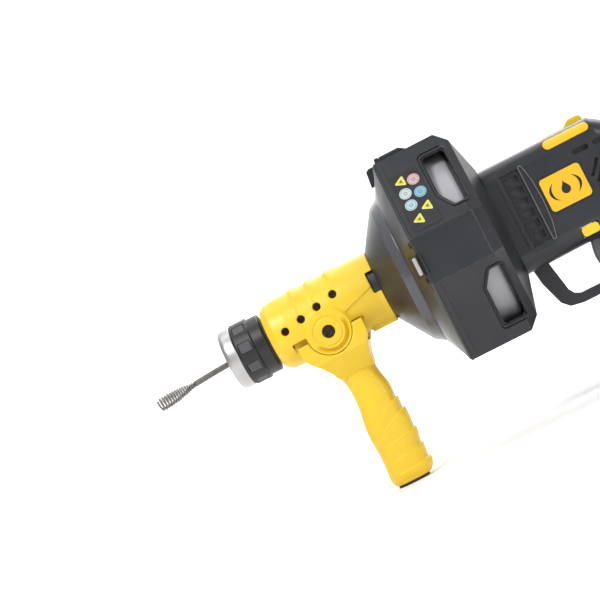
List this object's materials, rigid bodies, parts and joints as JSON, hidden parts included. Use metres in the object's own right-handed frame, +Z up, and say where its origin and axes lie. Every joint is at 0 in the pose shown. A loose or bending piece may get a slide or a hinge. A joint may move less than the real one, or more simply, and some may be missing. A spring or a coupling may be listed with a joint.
{
  "type": "drain snake machine",
  "caption": "Hand-held cordless drain auger: cable drum in an eight-sided housing behind a cone, yellow nose barrel with front handle, twist collar, pistol grip and slide-on battery.",
  "frame": {"origin": "centre of the bounding box's base, without the free cable end and its auger: on the standing surface under the drum housing", "axes": "+X from the nose towards the motor's rear, +Z up, -Y the tool's left side"},
  "size_m": [0.5762, 0.2264, 0.303],
  "materials": {
    "yellow_plastic": "satin moulded, slightly glossy",
    "dark_plastic": "fine textured, matte",
    "cone_plastic": "smooth satin",
    "black_plastic": "matte",
    "grey_plastic": "satin",
    "drum_plastic": "satin",
    "inner_plastic": "matte",
    "ring_metal": "satin turned",
    "cable_steel": "oiled spring wire",
    "steel": "machined",
    "black_steel": "black oxide",
    "gear_steel": "sintered",
    "copper_winding": "lacquered wire",
    "circuit_board": "lacquered board",
    "cell_wrap": "shrink wrap",
    "pad_rubber": "soft rubber",
    "pad_grey": "soft grip",
    "label_film": "printed film"
  },
  "bodies": {
    "root": {"nose_housing_left": "yellow_plastic", "nose_housing_right": "yellow_plastic", "nose_screws": "black_steel", "nose_core": "inner_plastic", "nose_ring": "ring_metal", "guide_tube": "inner_plastic", "handle_bolt": "black_steel", "handle_nut": "steel", "drum_housing_front": "cone_plastic", "drum_housing_rear": "dark_plastic", "drum_housing_screws": "black_steel", "icon_label": "label_film", "ring_gear": "gear_steel", "gearbox_case": "inner_plastic", "bearing_front": "steel", "bearing_rear": "steel", "motor_stator": "copper_winding", "motor_housing_left": "dark_plastic", "motor_housing_right": "dark_plastic", "housing_screws": "black_steel", "side_trims": "yellow_plastic", "name_plates": "yellow_plastic", "vent_grilles": "black_plastic", "trigger_switch": "black_plastic", "control_board": "circuit_board"},
    "collar": {"feed_collar": "black_plastic", "collar_grip_pads": "pad_grey"},
    "handle": {"handle_grip": "yellow_plastic", "handle_foot_pad": "pad_rubber"},
    "latch_left": {"latch_left": "black_plastic"},
    "latch_right": {"latch_right": "black_plastic"},
    "drum": {"drum_front": "drum_plastic", "drum_rear": "drum_plastic", "cable_coil": "cable_steel", "cable_lead": "cable_steel", "planet_carrier": "gear_steel"},
    "cable": {"cable_run": "cable_steel", "cable_end": "cable_steel", "auger_tip": "cable_steel"},
    "rotor": {"motor_rotor": "gear_steel", "motor_fan": "inner_plastic"},
    "trigger": {"trigger": "grey_plastic", "trigger_spring": "steel"},
    "direction_button": {"direction_button": "yellow_plastic"},
    "speed_slider": {"speed_slider": "yellow_plastic"},
    "battery": {"battery_case": "dark_plastic", "battery_lid": "dark_plastic", "battery_cells": "cell_wrap"},
    "battery_button": {"battery_button": "yellow_plastic"},
    "planet_0": {"planet_gear_0": "gear_steel"},
    "block_0": {"roller_block_0": "inner_plastic"},
    "roller_0": {"feed_roller_0": "steel"},
    "planet_1": {"planet_gear_1": "gear_steel"},
    "block_1": {"roller_block_1": "inner_plastic"},
    "roller_1": {"feed_roller_1": "steel"},
    "planet_2": {"planet_gear_2": "gear_steel"},
    "block_2": {"roller_block_2": "inner_plastic"},
    "roller_2": {"feed_roller_2": "steel"}
  },
  "joints": [
    {"name": "drum_spin", "type": "hinge", "parent": "root", "child": "drum", "pos_m": [0, 0, 0.19], "axis": [1, 0, 0], "continuous": true},
    {"name": "cable_feed", "type": "slide", "parent": "drum", "child": "cable", "axis": [-1, 0, 0], "range_m": [0, 0.12]},
    {"name": "rotor_spin", "type": "hinge", "parent": "root", "child": "rotor", "pos_m": [0.12, 0, 0.19], "axis": [1, 0, 0], "continuous": true},
    {"name": "collar_turn", "type": "hinge", "parent": "root", "child": "collar", "pos_m": [-0.215, 0, 0.19], "axis": [1, 0, 0], "range_deg": [0, 40]},
    {"name": "handle_tilt", "type": "hinge", "parent": "root", "child": "handle", "pos_m": [-0.1395, 0, 0.172], "axis": [0, 1, 0], "range_deg": [0, 8]},
    {"name": "latch_left_swing", "type": "hinge", "parent": "root", "child": "latch_left", "pos_m": [-0.0254, -0.1114, 0.19], "axis": [0, 0, 1], "range_deg": [0, 70]},
    {"name": "latch_right_swing", "type": "hinge", "parent": "root", "child": "latch_right", "pos_m": [-0.0254, 0.1114, 0.19], "axis": [0, 0, -1], "range_deg": [0, 70]},
    {"name": "trigger_pull", "type": "slide", "parent": "root", "child": "trigger", "axis": [1, 0, 0], "range_m": [0, 0.006], "stiffness_N_per_m": 600, "springref_m": -0.004, "deforming": ["trigger_spring"]},
    {"name": "direction_shift", "type": "slide", "parent": "root", "child": "direction_button", "axis": [0, 1, 0], "range_m": [-0.004, 0.004]},
    {"name": "speed_shift", "type": "slide", "parent": "root", "child": "speed_slider", "axis": [-1, 0, 0], "range_m": [0, 0.008]},
    {"name": "battery_slide", "type": "slide", "parent": "root", "child": "battery", "axis": [-1, 0, 0], "range_m": [0, 0.1]},
    {"name": "battery_button_press", "type": "slide", "parent": "battery", "child": "battery_button", "axis": [1, 0, 0], "range_m": [0, 0.003], "stiffness_N_per_m": 600, "springref_m": -0.002},
    {"name": "planet_spin_0", "type": "hinge", "parent": "drum", "child": "planet_0", "pos_m": [0.078, 0, 0.205], "axis": [1, 0, 0], "continuous": true},
    {"name": "block_slide_0", "type": "slide", "parent": "root", "child": "block_0", "axis": [0, 0, 1], "range_m": [0, 0.0021]},
    {"name": "roller_spin_0", "type": "hinge", "parent": "block_0", "child": "roller_0", "pos_m": [-0.215, 0, 0.1985], "axis": [0.9397, 0.342, 0], "continuous": true},
    {"name": "planet_spin_1", "type": "hinge", "parent": "drum", "child": "planet_1", "pos_m": [0.078, -0.01299, 0.1825], "axis": [1, 0, 0], "continuous": true},
    {"name": "block_slide_1", "type": "slide", "parent": "root", "child": "block_1", "axis": [0, -0.866, -0.5], "range_m": [0, 0.0021]},
    {"name": "roller_spin_1", "type": "hinge", "parent": "block_1", "child": "roller_1", "pos_m": [-0.215, -0.00736, 0.18575], "axis": [0.9397, -0.171, 0.2962], "continuous": true},
    {"name": "planet_spin_2", "type": "hinge", "parent": "drum", "child": "planet_2", "pos_m": [0.078, 0.01299, 0.1825], "axis": [1, 0, 0], "continuous": true},
    {"name": "block_slide_2", "type": "slide", "parent": "root", "child": "block_2", "axis": [0, 0.866, -0.5], "range_m": [0, 0.0021]},
    {"name": "roller_spin_2", "type": "hinge", "parent": "block_2", "child": "roller_2", "pos_m": [-0.215, 0.00736, 0.18575], "axis": [0.9397, -0.171, -0.2962], "continuous": true}
  ],
  "couplings": [
    {"joint": "rotor_spin", "follows": "drum_spin", "ratio": 5},
    {"joint": "planet_spin_0", "follows": "drum_spin", "ratio": -2.6667},
    {"joint": "block_slide_0", "follows": "collar_turn", "m_per_rad": 0.0028505},
    {"joint": "roller_spin_0", "follows": "drum_spin", "ratio": -0.6014},
    {"joint": "planet_spin_1", "follows": "drum_spin", "ratio": -2.6667},
    {"joint": "block_slide_1", "follows": "collar_turn", "m_per_rad": 0.0028505},
    {"joint": "roller_spin_1", "follows": "drum_spin", "ratio": -0.6014},
    {"joint": "planet_spin_2", "follows": "drum_spin", "ratio": -2.6667},
    {"joint": "block_slide_2", "follows": "collar_turn", "m_per_rad": 0.0028505},
    {"joint": "roller_spin_2", "follows": "drum_spin", "ratio": -0.6014}
  ]
}
